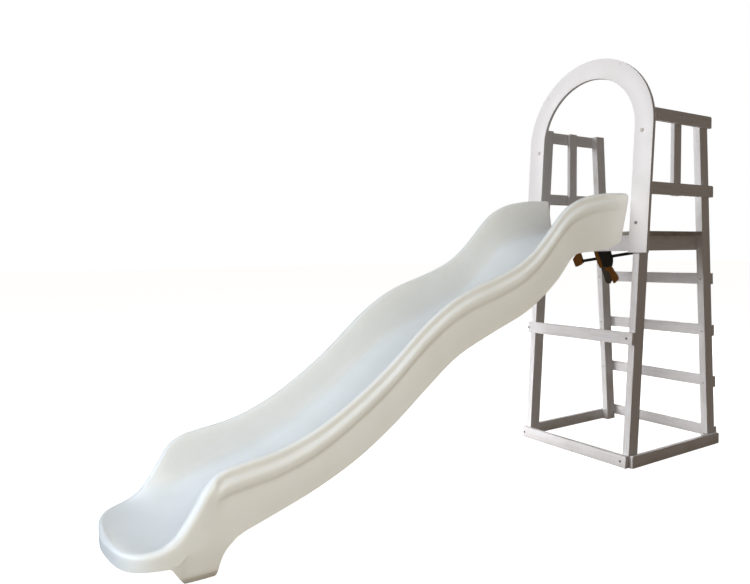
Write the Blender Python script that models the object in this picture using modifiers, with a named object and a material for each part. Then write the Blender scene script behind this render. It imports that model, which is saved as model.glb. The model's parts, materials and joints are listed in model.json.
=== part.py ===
"""A play tower of white-painted timber with a wavy plastic slide, in metres, +Z up.

The slide runs from the tower's deck towards -Y and the ladder rungs are on the +Y side.
"""

import bisect
import math

import bmesh
import bpy
from mathutils import Vector

# Gap between pieces that touch
SEAT = 0.0003

# Tower, from the ground up
TOWER_HALF_WIDTH = 0.354  # to the outer side faces of the posts
TOWER_HALF_DEPTH = 0.391  # to the front and back faces of the posts, at the ground
POST_LEAN = 0.070  # inward lean of the front and back faces, for each metre up
POST_HEIGHT = 1.818
POST_WIDTH = 0.038
POST_DEPTH = 0.072
BOARD_HEIGHT = 0.062
BOARD_THICKNESS = 0.022

# Ladder, front boards and side rails
RUNG_COUNT = 4
FIRST_RUNG_MIDDLE = 0.059
RUNG_SPACING = 0.293
FRONT_RAIL_BOTTOM = 0.625
LOWER_RAIL_BOTTOM = 1.386
RAIL_OVERHANG = 0.008  # of the side rails past the back faces of the posts
END_ROUNDING = 0.012  # radius at the ends of the side rails and boards

# Deck
DECK_HEIGHT = 1.200
DECK_BOARD_THICKNESS = 0.019
DECK_BOARD_GAP = 0.004
DECK_EDGE = 0.3065  # from the middle to the front and back edges of the deck
DECK_FULL_BOARDS = 4  # boards that reach over both side beams, between the posts
BEAM_HEIGHT = 0.081
BEAM_THICKNESS = 0.024
JOIST_WIDTH = BOARD_HEIGHT

# Arch over the top of the slide
ARCH_OUTER_RADIUS = 0.407
ARCH_INNER_RADIUS = 0.302
ARCH_CENTRE_HEIGHT = 1.729
ARCH_BOTTOM = 1.090
ARCH_THICKNESS = 0.020
ARCH_STEPS = 24

# Slide, plan
SLIDE_TOP = -0.305
SLIDE_HALF_WIDTH = 0.260  # to the crest of the rim
SLIDE_WALL = 0.005
LIP_PIVOT = -2.600  # where the straight sides end and the rounded exit lip starts
LIP_LENGTH = 0.208
LIP_SQUARENESS = 3.6
LIP_LAST_MIDDLE = -2.760
LIP_STEPS = 14
LIP_CROWDING = 1.4  # how much closer together the sections stand at the lip's start than at its tip
FLANGE_REACH = 0.052  # of the top flange over the deck
FLANGE_STRIPS = 3
STATION_SPACING = 0.062
LEDGE_END = (-2.450, -2.505)  # the step under the rim merges into the rim between these
OUTSET_END = (-2.600, -2.640)  # the sides step in behind the lip between these
SLIDE_REAR_SLANT = 0.27  # of the outer sides near the top end, forward for each metre down
SLIDE_REAR_FADE = 0.30  # length over which that slant fades out
FOOT_TAPER_START = 0.120  # height under which the feet narrow inwards
FOOT_TAPER = 0.36
LEAST_DROP = 0.004  # between neighbouring points of the outer side
FULL_SKIRT = 0.10  # height of the outer side under which its upper part is squeezed

# Slide, cross-section. Inner side, from the bed's middle to the crest: distance inside the crest as a
# share of the half width, and height as a share of the wall's height
INNER_SIDE = (
    (1.0, 0.0), (0.60, 0.0), (0.36, 0.0), (0.23, 0.035), (0.14, 0.16), (0.085, 0.45), (0.045, 0.90),
    (0.0, 1.0),
)
# Outer side, from the crest down: distance outside the crest and drop below it, with the step under the
# rim and where that step has merged into the rim
RIM_ROLL = 0.013
SIDE_OUTSET = 0.017
OUTER_SIDE = (
    ((0.009, 0.006), (0.010, 0.005)),
    ((RIM_ROLL, 0.032), (0.022, 0.018)),
    ((0.019, 0.043), (0.028, 0.036)),
    ((0.027, 0.053), (RIM_ROLL + SIDE_OUTSET, 0.053)),
    ((RIM_ROLL + SIDE_OUTSET, 0.076), (RIM_ROLL + SIDE_OUTSET, 0.076)),
)

# Slide, side view: (y, height) of the rim's crest, of the bed and of the skirt's lower edge
RIM = (
    (-0.305, 1.396), (-0.48, 1.388), (-0.64, 1.359), (-0.76, 1.301), (-0.87, 1.195), (-0.96, 1.113),
    (-1.06, 1.049), (-1.20, 0.995), (-1.35, 0.948), (-1.47, 0.894), (-1.61, 0.799), (-1.77, 0.665),
    (-1.93, 0.553), (-2.10, 0.459), (-2.25, 0.408), (-2.40, 0.384), (-2.465, 0.371), (-2.515, 0.338),
    (-2.575, 0.247), (-2.63, 0.177), (-2.69, 0.147), (-2.81, 0.138),
)
BED = (
    (-0.305, 1.2055), (-0.43, 1.201), (-0.575, 1.178), (-0.71, 1.120), (-0.827, 1.020), (-0.935, 0.925),
    (-1.06, 0.855), (-1.205, 0.802), (-1.363, 0.745), (-1.50, 0.675), (-1.65, 0.565), (-1.798, 0.460),
    (-1.947, 0.375), (-2.097, 0.305), (-2.248, 0.255), (-2.38, 0.218), (-2.55, 0.163), (-2.68, 0.137),
    (-2.81, 0.131),
)
SKIRT = (
    (-0.305, 1.156), (-0.36, 1.135), (-0.48, 1.113), (-0.66, 1.101), (-0.71, 1.094), (-0.75, 1.068),
    (-0.82, 0.990), (-0.94, 0.896), (-1.06, 0.828), (-1.25, 0.755), (-1.45, 0.669), (-1.61, 0.554),
    (-1.77, 0.433), (-1.93, 0.332), (-2.10, 0.250), (-2.25, 0.200), (-2.40, 0.148),
)
# The lower edge dips to the ground as a foot on each side, then runs round under the lip
FOOT_EDGE = (
    (-2.40, 0.148), (-2.45, 0.108), (-2.476, 0.072), (-2.495, 0.028), (-2.503, 0.0), (-2.53, 0.0),
    (-2.565, 0.0), (LIP_PIVOT, 0.0), (-2.65, 0.082), (-2.71, 0.088), (-2.81, 0.084),
)

# Bar clamp left hanging on the middle joist under the deck
CLAMP_TILT = math.radians(7.5)
CLAMP_BAR_HEIGHT = 1.052  # of the bar's axis under the middle of the joist
CLAMP_THICKNESS = 0.028
GRIP_THICKNESS = 0.024
TRIGGER_THICKNESS = 0.018
CLAMP_SETBACK = 0.0015  # from the back of the front beam
CLAMP_BAR_SIZE = (0.006, 0.016)  # thickness and height
CLAMP_BAR_ENDS = (-0.077, 0.290)  # along the bar, from under the joist's middle
FIXED_JAW_FACE = -0.039
SLIDING_JAW_FACE = 0.048
JAW_TOP = 0.084
PAD_HEIGHTS = (0.050, 0.082)
HANG_HOLE = (0.1188, -0.1271)  # through the grip's lower end
HANG_HOLE_RADIUS = 0.0045
HANG_HOLE_SIDES = 12

# Where the tower's middle stands, so that the whole object's box is centred on the origin. The box
# ends at the lip's rim and at the lower edge of the lowest rung
LENGTH_FRONT = LIP_PIVOT - LIP_LENGTH - RIM_ROLL
LOWEST_RUNG_BOTTOM = FIRST_RUNG_MIDDLE - BOARD_HEIGHT / 2
LENGTH_BACK = TOWER_HALF_DEPTH - POST_LEAN * LOWEST_RUNG_BOTTOM + SEAT + BOARD_THICKNESS
TOWER_PLACE = -(LENGTH_FRONT + LENGTH_BACK) / 2

WHITE_TIMBER = ("white_painted_timber", (0.80, 0.79, 0.76, 1.0), 0.55, 0.0)
WHITE_BOARD = ("white_painted_board", (0.84, 0.83, 0.81, 1.0), 0.45, 0.0)
DECK_TIMBER = ("deck_timber", (0.62, 0.60, 0.57, 1.0), 0.65, 0.0)
SLIDE_PLASTIC = ("white_slide_plastic", (0.78, 0.79, 0.79, 1.0), 0.30, 0.0)
BLACK_STEEL = ("black_steel", (0.02, 0.02, 0.02, 1.0), 0.40, 1.0)
BLACK_PLASTIC = ("black_plastic", (0.02, 0.02, 0.02, 1.0), 0.50, 0.0)
AMBER_PLASTIC = ("amber_plastic", (0.42, 0.18, 0.03, 1.0), 0.45, 0.0)


def clear_scene():
    for obj in list(bpy.data.objects):
        bpy.data.objects.remove(obj, do_unlink=True)


def material(finish):
    name, colour, roughness, metallic = finish
    found = bpy.data.materials.get(name)
    if found:
        return found
    made = bpy.data.materials.new(name)
    made.use_nodes = True
    shader = made.node_tree.nodes["Principled BSDF"]
    shader.inputs["Base Color"].default_value = colour
    shader.inputs["Roughness"].default_value = roughness
    shader.inputs["Metallic"].default_value = metallic
    made.diffuse_color = colour
    return made


def add_part(name, data, finish):
    """Puts a mesh or a curve into the object's collection, under the tower's empty."""
    part = bpy.data.objects.new(name, data)
    data.materials.append(material(finish))
    collection.objects.link(part)
    part.parent = tower
    return part


def mesh_from(name, bm):
    mesh = bpy.data.meshes.new(name)
    bmesh.ops.recalc_face_normals(bm, faces=bm.faces)
    bm.to_mesh(mesh)
    bm.free()
    return mesh


def face_depth(height):
    """Distance from the tower's middle to a post's front or back face at this height."""
    return TOWER_HALF_DEPTH - POST_LEAN * height


def block(name, low, high, finish):
    """A straight piece of timber between two opposite corners."""
    low, high = Vector(low), Vector(high)
    bm = bmesh.new()
    bmesh.ops.create_cube(bm, size=1.0)
    bmesh.ops.scale(bm, vec=high - low, verts=bm.verts)
    bmesh.ops.translate(bm, vec=(low + high) / 2, verts=bm.verts)
    return add_part(name, mesh_from(name, bm), finish)


def leaning_block(name, x_range, z_range, side, inner, outer, finish):
    """A piece that leans with the posts, between two distances from their front (-1) or back (1) face."""
    part = block(name, (x_range[0], 0.0, z_range[0]), (x_range[1], 1.0, z_range[1]), finish)
    for vertex in part.data.vertices:
        offset = outer if vertex.co.y > 0.5 else inner
        vertex.co.y = side * (face_depth(vertex.co.z) + offset)
    if side < 0:
        part.data.flip_normals()
    return part


def rounded_rail(name, x_range, y_range, z_range, finish):
    """A side rail whose upper corners at both ends are rounded."""
    part = block(name, *zip(x_range, y_range, z_range), finish)
    bm = bmesh.new()
    bm.from_mesh(part.data)
    top = max(vertex.co.z for vertex in bm.verts)
    corners = [
        edge for edge in bm.edges
        if all(abs(vertex.co.z - top) < SEAT for vertex in edge.verts)
        and abs(edge.verts[0].co.y - edge.verts[1].co.y) < SEAT
    ]
    bmesh.ops.bevel(bm, geom=corners, offset=END_ROUNDING, segments=4, profile=0.5, affect="EDGES")
    bm.to_mesh(part.data)
    bm.free()
    return part


def build_posts():
    for side, place in ((-1, "front"), (1, "back")):
        for hand, word in ((-1, "left"), (1, "right")):
            x_range = sorted((hand * TOWER_HALF_WIDTH, hand * (TOWER_HALF_WIDTH - POST_WIDTH)))
            z_range = (0.0, POST_HEIGHT)
            leaning_block(f"post_{place}_{word}", x_range, z_range, side, -POST_DEPTH, 0.0, WHITE_TIMBER)


def build_boards():
    """Rungs on the back posts and two boards on the front posts."""
    width = (-TOWER_HALF_WIDTH, TOWER_HALF_WIDTH)
    outer = SEAT + BOARD_THICKNESS
    for index in range(RUNG_COUNT):
        bottom = LOWEST_RUNG_BOTTOM + RUNG_SPACING * index
        z_range = (bottom, bottom + BOARD_HEIGHT)
        leaning_block(f"ladder_rung_{index + 1}", width, z_range, 1, SEAT, outer, WHITE_TIMBER)
    for name, bottom in (("front_base_board", 0.0), ("front_mid_rail", FRONT_RAIL_BOTTOM)):
        leaning_block(name, width, (bottom, bottom + BOARD_HEIGHT), -1, SEAT, outer, WHITE_TIMBER)


def build_sides():
    """On each side: a board at the ground, two guard rails and the slat between them."""
    inner = TOWER_HALF_WIDTH + SEAT
    outer = inner + BOARD_THICKNESS
    top_rail_bottom = POST_HEIGHT - BOARD_HEIGHT
    for hand, word in ((-1, "left"), (1, "right")):
        x_range = sorted((hand * inner, hand * outer))
        for name, bottom in (
            ("base_board", 0.0),
            ("lower_rail", LOWER_RAIL_BOTTOM),
            ("top_rail", top_rail_bottom),
        ):
            front = -face_depth(bottom + BOARD_HEIGHT)
            back = -front + RAIL_OVERHANG
            z_range = (bottom, bottom + BOARD_HEIGHT)
            rounded_rail(f"side_{name}_{word}", x_range, (front, back), z_range, WHITE_TIMBER)
        slat_x = sorted((hand * TOWER_HALF_WIDTH, hand * (TOWER_HALF_WIDTH - BOARD_THICKNESS)))
        block(
            f"side_slat_{word}",
            (slat_x[0], -BOARD_HEIGHT / 2, LOWER_RAIL_BOTTOM),
            (slat_x[1], BOARD_HEIGHT / 2, POST_HEIGHT),
            WHITE_TIMBER,
        )


def build_deck():
    """A frame of four beams and a middle joist between the posts, with boards laid across it."""
    inside = TOWER_HALF_WIDTH - POST_WIDTH - SEAT
    beam_top = DECK_HEIGHT - DECK_BOARD_THICKNESS - SEAT
    beam_bottom = beam_top - BEAM_HEIGHT
    beam_back = DECK_EDGE - BEAM_THICKNESS
    for side, place in ((-1, "front"), (1, "back")):
        ends = sorted((side * DECK_EDGE, side * beam_back))
        low, high = (-inside, ends[0], beam_bottom), (inside, ends[1], beam_top)
        block(f"deck_{place}_beam", low, high, WHITE_TIMBER)
    reach = beam_back - SEAT
    for hand, word in ((-1, "left"), (1, "right")):
        ends = sorted((hand * inside, hand * (inside - BEAM_THICKNESS)))
        low, high = (ends[0], -reach, beam_bottom), (ends[1], reach, beam_top)
        block(f"deck_side_beam_{word}", low, high, WHITE_TIMBER)
    half_joist = JOIST_WIDTH / 2
    low, high = (-half_joist, -reach, beam_bottom), (half_joist, reach, beam_top)
    block("deck_middle_joist", low, high, WHITE_TIMBER)

    post_back = face_depth(beam_top) - POST_DEPTH
    full_half = post_back - DECK_BOARD_GAP / 2
    pitch = 2 * full_half / DECK_FULL_BOARDS
    bottom = DECK_HEIGHT - DECK_BOARD_THICKNESS
    rows = [(-DECK_EDGE, -full_half - DECK_BOARD_GAP, inside)]
    for index in range(DECK_FULL_BOARDS):
        start = -full_half + pitch * index
        rows.append((start, start + pitch - DECK_BOARD_GAP, TOWER_HALF_WIDTH))
    rows.append((full_half, DECK_EDGE, inside))
    for number, (start, end, half) in enumerate(rows, 1):
        block(f"deck_board_{number}", (-half, start, bottom), (half, end, DECK_HEIGHT), DECK_TIMBER)


def build_arch():
    """The arched board on the front of the front posts: a half ring on two straight legs."""
    lean = math.atan(POST_LEAN)
    rise = (ARCH_CENTRE_HEIGHT - ARCH_BOTTOM) / math.cos(lean)
    outline = []
    for radius, order in ((ARCH_OUTER_RADIUS, 1), (ARCH_INNER_RADIUS, -1)):
        ring = [(radius, 0.0)]
        for step in range(ARCH_STEPS + 1):
            angle = math.pi * step / ARCH_STEPS
            ring.append((radius * math.cos(angle), rise + radius * math.sin(angle)))
        ring.append((-radius, 0.0))
        outline += ring[::order]
    curve = bpy.data.curves.new("arch_board", "CURVE")
    curve.dimensions = "2D"
    curve.fill_mode = "BOTH"
    curve.extrude = ARCH_THICKNESS / 2
    spline = curve.splines.new("POLY")
    spline.points.add(len(outline) - 1)
    spline.use_cyclic_u = True
    for point, (x, up) in zip(spline.points, outline):
        point.co = (x, up, 0.0, 1.0)
    part = add_part("arch_board", curve, WHITE_BOARD)
    stand_off = SEAT + ARCH_THICKNESS / 2
    part.location = (0.0, -face_depth(ARCH_BOTTOM) - stand_off / math.cos(lean), ARCH_BOTTOM)
    part.rotation_euler = (math.pi / 2 - lean, 0.0, 0.0)


def smooth_height(points, y):
    """Height at y of a smooth curve through (y, height) points that run towards -Y."""
    places = [-point[0] for point in points]
    index = min(max(bisect.bisect_right(places, -y) - 1, 0), len(points) - 2)

    def slope(at):
        before, after = points[max(at - 1, 0)], points[min(at + 1, len(points) - 1)]
        return (after[1] - before[1]) / (after[0] - before[0])

    (y0, z0), (y1, z1) = points[index], points[index + 1]
    span = y1 - y0
    t = min(max((y - y0) / span, 0.0), 1.0)
    rise = (2 * t**3 - 3 * t**2 + 1) * z0 + (3 * t**2 - 2 * t**3) * z1
    return rise + span * ((t**3 - 2 * t**2 + t) * slope(index) + (t**3 - t**2) * slope(index + 1))


def straight_height(points, y):
    """Height at y on straight runs between (y, height) points that run towards -Y."""
    for (y0, z0), (y1, z1) in zip(points, points[1:]):
        if y >= y1:
            return z0 + (z1 - z0) * (y - y0) / (y1 - y0)
    return points[-1][1]


def skirt_edge(y):
    if y > SKIRT[-1][0]:
        return smooth_height(SKIRT, y)
    return straight_height(FOOT_EDGE, y)


def share_left(stretch, y):
    """Share of a stretch that is still ahead at y: 1 before it starts, 0 past its end."""
    start, end = stretch
    return min(max((y - end) / (start - end), 0.0), 1.0)


def half_section(middle_y, rim_x, rim_y):
    """Points of half a cross-section, from the bed's middle over the rim to the skirt's lower edge."""
    outward = Vector((rim_x, rim_y - middle_y, 0.0))
    length = outward.length
    outward /= length
    rim = Vector((rim_x, rim_y, 0.0))
    rim_height = smooth_height(RIM, rim_y)
    wall_height = rim_height - smooth_height(BED, rim_y)
    edge = skirt_edge(rim_y)
    points = []
    for inside, share in INNER_SIDE:
        place = rim - outward * (length * inside)
        place.z = smooth_height(BED, place.y) + wall_height * share
        points.append(place)
    merged = 1 - share_left(LEDGE_END, rim_y)
    outset = share_left(OUTSET_END, rim_y)
    squeeze = min((rim_height - edge) / FULL_SKIRT, 1.0)
    rear = max(1 - (SLIDE_TOP - rim_y) / SLIDE_REAR_FADE, 0.0)
    for stepped, smooth in OUTER_SIDE:
        out, drop = Vector(stepped).lerp(Vector(smooth), merged)
        out = min(out, RIM_ROLL) + max(out - RIM_ROLL, 0.0) * outset
        place = rim + outward * out
        place.z = rim_height - drop * squeeze
        place.y -= rear * SLIDE_REAR_SLANT * (rim_height - place.z)
        points.append(place)
    taper_height = max(edge, FOOT_TAPER_START)
    for height in (max((taper_height + points[-1].z) / 2, taper_height), edge):
        inset = FOOT_TAPER * max(FOOT_TAPER_START - height, 0.0)
        place = rim + outward * (RIM_ROLL + SIDE_OUTSET * outset - inset * outset)
        place.z = min(height, points[-1].z - LEAST_DROP)
        place.y -= rear * SLIDE_REAR_SLANT * (rim_height - place.z)
        points.append(place)
    return points


def slide_sections():
    """Half sections square to the slide down to the lip, then fanned round the lip to its middle."""
    count = math.ceil((SLIDE_TOP - FOOT_EDGE[0][0]) / STATION_SPACING)
    spacing = (SLIDE_TOP - FOOT_EDGE[0][0]) / count
    places = [SLIDE_TOP - spacing * index for index in range(count)]
    places += [y for y, _ in FOOT_EDGE if y > LIP_PIVOT]
    sections = [half_section(y, SLIDE_HALF_WIDTH, y) for y in places]
    for step in range(LIP_STEPS + 1):
        share = (step / LIP_STEPS) ** LIP_CROWDING
        angle = share * math.pi / 2
        power = 2 / LIP_SQUARENESS
        rim_x = SLIDE_HALF_WIDTH * math.cos(angle) ** power if step < LIP_STEPS else 0.0
        rim_y = LIP_PIVOT - LIP_LENGTH * math.sin(angle) ** power
        middle = LIP_PIVOT + (LIP_LAST_MIDDLE - LIP_PIVOT) * share
        sections.append(half_section(middle, rim_x, rim_y))
    return sections


def build_slide():
    """The slide is one thin shell: half of it is lofted, then mirrored and given its wall."""
    bm = bmesh.new()
    rows = [[bm.verts.new(point) for point in section] for section in slide_sections()]
    for upper, lower in zip(rows, rows[1:]):
        for index in range(len(upper) - 1):
            bm.faces.new((upper[index], lower[index], lower[index + 1], upper[index + 1]))
    flange = [bm.edges.get((rows[0][index], rows[0][index + 1])) for index in range(FLANGE_STRIPS)]
    extruded = bmesh.ops.extrude_edge_only(bm, edges=flange)
    moved = [item for item in extruded["geom"] if isinstance(item, bmesh.types.BMVert)]
    bmesh.ops.translate(bm, vec=(0.0, FLANGE_REACH, 0.0), verts=moved)
    flange_height = rows[0][0].co.z
    for vertex in moved:
        vertex.co.z = flange_height
    mesh = mesh_from("slide_chute", bm)
    if mesh.polygons[0].normal.z < 0:
        mesh.flip_normals()
    slide = add_part("slide_chute", mesh, SLIDE_PLASTIC)
    mirror = slide.modifiers.new("Other half", "MIRROR")
    mirror.merge_threshold = 0.0001
    wall = slide.modifiers.new("Wall", "SOLIDIFY")
    wall.thickness = SLIDE_WALL
    wall.offset = -1.0
    wall.use_even_offset = True
    mesh.shade_smooth()


def clamp_place(u, v):
    """World point of (u, v) in the clamp's own plane: u along its bar, v up across it."""
    x = u * math.cos(CLAMP_TILT) - v * math.sin(CLAMP_TILT)
    z = CLAMP_BAR_HEIGHT + u * math.sin(CLAMP_TILT) + v * math.cos(CLAMP_TILT)
    return x, z


def clamp_plate(name, outline, thickness, finish):
    """A flat piece of the clamp: an outline in its plane, as thick as given, square to it."""
    front_beam_back = -(DECK_EDGE - BEAM_THICKNESS)
    centre = front_beam_back + CLAMP_SETBACK + CLAMP_THICKNESS / 2
    bm = bmesh.new()
    corners = [bm.verts.new((x, centre - thickness / 2, z)) for x, z in outline]
    bm.faces.new(corners)
    pushed = bmesh.ops.extrude_face_region(bm, geom=bm.faces[:])
    far = [item for item in pushed["geom"] if isinstance(item, bmesh.types.BMVert)]
    bmesh.ops.translate(bm, vec=(0.0, thickness, 0.0), verts=far)
    return add_part(name, mesh_from(name, bm), finish)


def clamp_cutter(name, outline, thickness):
    cutter = clamp_plate(name, outline, thickness, BLACK_STEEL)
    collection.objects.unlink(cutter)
    cutters.objects.link(cutter)
    cutter.hide_render = True
    cutter.display_type = "WIRE"
    return cutter


def clamp_bar_outline(start, end, half_height):
    corners = ((start, -half_height), (start, half_height), (end, half_height), (end, -half_height))
    return [clamp_place(u, v) for u, v in corners]


def build_clamp():
    """The fixed jaw and bar on the left, the sliding jaw with its grip and trigger on the right."""
    half_bar = CLAMP_BAR_SIZE[1] / 2
    clamp_plate("clamp_bar", clamp_bar_outline(*CLAMP_BAR_ENDS, half_bar), CLAMP_BAR_SIZE[0], BLACK_STEEL)
    slot_outline = clamp_bar_outline(CLAMP_BAR_ENDS[0] - SEAT, CLAMP_BAR_ENDS[1], half_bar + SEAT)
    slot = clamp_cutter("clamp_bar_slot", slot_outline, CLAMP_BAR_SIZE[0] + 2 * SEAT)
    turns = [2 * math.pi * side / HANG_HOLE_SIDES for side in range(HANG_HOLE_SIDES)]
    hole_u, hole_v = HANG_HOLE
    hole_outline = [
        clamp_place(hole_u + HANG_HOLE_RADIUS * math.cos(turn), hole_v + HANG_HOLE_RADIUS * math.sin(turn))
        for turn in turns
    ]
    hole = clamp_cutter("clamp_hang_hole", hole_outline, CLAMP_THICKNESS)

    fixed_jaw = (
        (FIXED_JAW_FACE, JAW_TOP), (FIXED_JAW_FACE, 0.050), (-0.0445, 0.043), (-0.0365, 0.016),
        (-0.0306, -0.0089), (-0.0515, -0.0192), (-0.0821, -0.0267), (-0.0899, -0.0041), (-0.0963, 0.0184),
        (-0.0817, 0.0318), (-0.068, 0.0427), (-0.064, JAW_TOP),
    )
    sliding_jaw = (
        (SLIDING_JAW_FACE, JAW_TOP), (SLIDING_JAW_FACE, 0.052), (0.0556, 0.032), (0.0568, 0.0211),
        (0.0629, -0.0045), (0.0725, -0.0332), (0.0806, -0.0533), (0.0869, -0.0552), (0.0999, -0.0448),
        (0.0943, -0.0169), (0.0873, 0.0059), (0.0799, 0.026), (0.076, JAW_TOP),
    )
    housing = (
        (0.0764, JAW_TOP), (0.0803, 0.0262), (0.0877, 0.0060), (0.0947, -0.0168), (0.1003, -0.0447),
        (0.1219, -0.0530), (0.1504, -0.0521), (0.1581, -0.0306), (0.1607, -0.0095), (0.1535, 0.0157),
        (0.1500, 0.049), (0.118, JAW_TOP),
    )
    grip = (
        (0.0885, -0.0545), (0.0915, -0.071), (0.0994, -0.0958), (0.1028, -0.1157), (0.1091, -0.138),
        (0.1288, -0.1443), (0.1395, -0.1303), (0.1377, -0.1087), (0.1252, -0.0803), (0.1105, -0.0740),
        (0.1105, -0.0492), (0.1003, -0.0453),
    )
    trigger = (
        (0.1110, -0.0500), (0.1219, -0.0536), (0.1480, -0.0530), (0.1508, -0.0538), (0.1647, -0.0796),
        (0.1822, -0.1056), (0.1848, -0.1244), (0.1721, -0.1364), (0.1553, -0.1459), (0.1486, -0.1286),
        (0.1433, -0.1093), (0.1347, -0.0814), (0.1250, -0.0775), (0.1110, -0.0735),
    )
    for name, outline, thickness, finish in (
        ("clamp_fixed_jaw", fixed_jaw, CLAMP_THICKNESS, AMBER_PLASTIC),
        ("clamp_sliding_jaw", sliding_jaw, CLAMP_THICKNESS, AMBER_PLASTIC),
        ("clamp_housing", housing, CLAMP_THICKNESS, BLACK_PLASTIC),
        ("clamp_grip", grip, GRIP_THICKNESS, BLACK_PLASTIC),
        ("clamp_trigger", trigger, TRIGGER_THICKNESS, AMBER_PLASTIC),
    ):
        piece = clamp_plate(name, [clamp_place(u, v) for u, v in outline], thickness, finish)
        if name != "clamp_trigger":
            cut = piece.modifiers.new("Cut", "BOOLEAN")
            cut.operation = "DIFFERENCE"
            cut.object = hole if name == "clamp_grip" else slot

    # The pads stand square to the joist and fill the wedge between it and the tilted jaws
    for name, hand, face in (
        ("clamp_fixed_pad", -1, FIXED_JAW_FACE + SEAT),
        ("clamp_sliding_pad", 1, SLIDING_JAW_FACE - SEAT),
    ):
        joist_side = hand * (JOIST_WIDTH / 2 + SEAT)
        low, high = (clamp_place(face, up) for up in PAD_HEIGHTS)
        outline = ((joist_side, low[1]), (joist_side, high[1]), high, low)
        clamp_plate(name, outline, CLAMP_THICKNESS, AMBER_PLASTIC)


clear_scene()
collection = bpy.data.collections.new("platform_slide")
bpy.context.scene.collection.children.link(collection)
cutters = bpy.data.collections.new("cutters")
bpy.context.scene.collection.children.link(cutters)
tower = bpy.data.objects.new("tower_middle", None)
tower.location = (0.0, TOWER_PLACE, 0.0)
collection.objects.link(tower)
build_posts()
build_boards()
build_sides()
build_deck()
build_arch()
build_slide()
build_clamp()
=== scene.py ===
# Looks for the platform slide: a white moulded slide on a small tower of white-painted timber.
# Everything is in metres, with the slide's exit towards -Y and the ladder towards +Y.

import bisect
import json
import math

import bmesh
import bpy
from mathutils import Matrix, Vector
from mathutils.bvhtree import BVHTree

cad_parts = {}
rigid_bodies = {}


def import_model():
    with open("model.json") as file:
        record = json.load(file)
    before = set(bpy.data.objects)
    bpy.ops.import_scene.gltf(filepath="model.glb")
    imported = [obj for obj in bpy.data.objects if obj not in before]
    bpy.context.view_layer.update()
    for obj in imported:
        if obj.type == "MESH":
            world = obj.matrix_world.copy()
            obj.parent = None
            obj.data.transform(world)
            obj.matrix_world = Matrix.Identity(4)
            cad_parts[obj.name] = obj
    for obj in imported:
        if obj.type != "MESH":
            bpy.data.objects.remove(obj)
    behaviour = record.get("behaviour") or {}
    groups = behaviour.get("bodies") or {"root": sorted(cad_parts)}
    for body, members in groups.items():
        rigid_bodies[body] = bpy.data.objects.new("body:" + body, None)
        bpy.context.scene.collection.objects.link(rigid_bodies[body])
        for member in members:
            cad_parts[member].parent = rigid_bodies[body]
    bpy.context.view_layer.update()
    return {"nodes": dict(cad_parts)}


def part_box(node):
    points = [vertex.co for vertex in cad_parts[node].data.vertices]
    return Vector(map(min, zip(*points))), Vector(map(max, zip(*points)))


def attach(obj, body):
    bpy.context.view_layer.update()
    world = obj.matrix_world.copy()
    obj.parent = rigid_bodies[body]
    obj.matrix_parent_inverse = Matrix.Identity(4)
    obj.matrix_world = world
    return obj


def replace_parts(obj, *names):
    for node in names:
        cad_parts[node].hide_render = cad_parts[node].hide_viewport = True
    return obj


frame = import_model()
nodes = frame["nodes"]


# Shader helpers

def addNode(tree, kind, inputs=None, **settings):
    node = tree.nodes.new(kind)
    for name, value in settings.items():
        setattr(node, name, value)
    for name, value in (inputs or {}).items():
        socket = node.inputs[name]
        if isinstance(value, bpy.types.NodeSocket):
            tree.links.new(value, socket)
        else:
            socket.default_value = value
    return node


def addMath(tree, operation, first, second, clamp=False):
    values = {0: first, 1: second}
    return addNode(tree, "ShaderNodeMath", values, operation=operation, use_clamp=clamp).outputs[0]


def addRange(tree, value, fromMin, fromMax, toMin=0.0, toMax=1.0, kind="LINEAR"):
    return addNode(tree, "ShaderNodeMapRange", {
        "Value": value, "From Min": fromMin, "From Max": fromMax, "To Min": toMin, "To Max": toMax,
    }, interpolation_type=kind).outputs[0]


def addMix(tree, factor, first, second):
    tones = [tone if isinstance(tone, bpy.types.NodeSocket) else (*tone, 1.0) for tone in (first, second)]
    inputs = {0: factor, 6: tones[0], 7: tones[1]}
    return addNode(tree, "ShaderNodeMix", inputs, data_type="RGBA", clamp_factor=True).outputs[2]


def addTint(tree, colour, mask, share, tone):
    # Lays a share of a tone over a colour where the mask is high
    return addMix(tree, addMath(tree, "MULTIPLY", mask, share), colour, tone)


def addNoise(tree, vector, scale, detail, roughness, distortion=0.0):
    return addNode(tree, "ShaderNodeTexNoise", {
        "Vector": vector, "Scale": scale, "Detail": detail, "Roughness": roughness, "Distortion": distortion,
    }).outputs["Fac"]


def addMapping(tree, vector, **changes):
    return addNode(tree, "ShaderNodeMapping", {"Vector": vector, **changes}).outputs[0]


def addGroup(tree, name, **inputs):
    return addNode(tree, "ShaderNodeGroup", inputs, node_tree=bpy.data.node_groups[name]).outputs


def newGroup(name, inputs, outputs):
    tree = bpy.data.node_groups.new(name, "ShaderNodeTree")
    for label, kind in inputs:
        tree.interface.new_socket(label, in_out="INPUT", socket_type="NodeSocket" + kind)
    for label in outputs:
        tree.interface.new_socket(label, in_out="OUTPUT", socket_type="NodeSocketFloat")
    return tree, tree.nodes.new("NodeGroupInput").outputs


def closeGroup(tree, **results):
    addNode(tree, "NodeGroupOutput", results)


def newMaterial(name, constants=None):
    material = bpy.data.materials.new(name)
    material.use_nodes = True
    tree = material.node_tree
    shader = tree.nodes["Principled BSDF"]
    for label, value in (constants or {}).items():
        shader.inputs[label].default_value = value
    coords = tree.nodes.new("ShaderNodeTexCoord").outputs["Object"]
    return material, tree, shader, coords


def finishMaterial(tree, shader, colour, rough, height, bump):
    strength, distance = bump
    relief = {"Strength": strength, "Distance": distance, "Height": height}
    tree.links.new(colour, shader.inputs["Base Color"])
    tree.links.new(rough, shader.inputs["Roughness"])
    tree.links.new(addNode(tree, "ShaderNodeBump", relief).outputs[0], shader.inputs["Normal"])


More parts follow.
